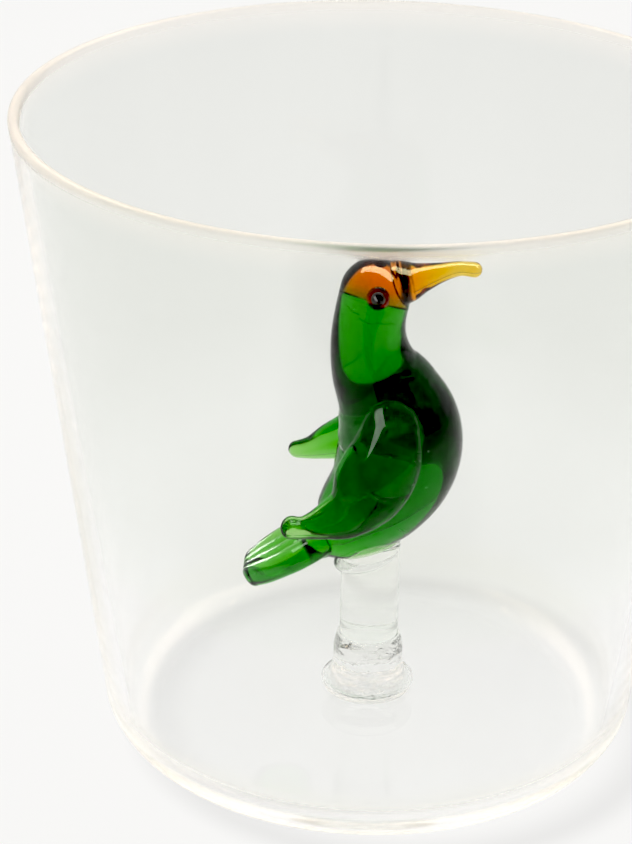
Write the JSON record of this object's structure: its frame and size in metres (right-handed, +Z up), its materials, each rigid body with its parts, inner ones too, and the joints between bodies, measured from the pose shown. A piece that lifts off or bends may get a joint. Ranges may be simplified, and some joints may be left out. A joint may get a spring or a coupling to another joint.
{
  "type": "glass tumbler with bird figurine",
  "caption": "Clear tapered drinking glass with a small green glass bird, orange-headed and long-beaked, standing on a clear glass post inside it.",
  "frame": {"origin": "on the axis of the glass, on the surface that it stands on", "axes": "+Z up along the axis of the glass; the bird's beak points along +X, and its right side faces -Y"},
  "size_m": [0.09, 0.09, 0.084],
  "materials": {
    "clear_glass": "clear, fire-polished borosilicate",
    "green_glass": "clear, deep green, gloss",
    "orange_glass": "clear, orange, gloss",
    "amber_glass": "clear, amber, gloss",
    "brown_glass": "dark amber, gloss",
    "black_glass": "opaque black, gloss"
  },
  "bodies": {
    "root": {"tumbler": "clear_glass", "post": "clear_glass", "post_foot": "clear_glass", "bird_body": "green_glass", "right_wing": "green_glass", "left_wing": "green_glass", "tail": "green_glass", "head_cap": "orange_glass", "beak": "amber_glass", "right_iris": "brown_glass", "left_iris": "brown_glass", "right_pupil": "black_glass", "left_pupil": "black_glass"}
  },
  "joints": []
}
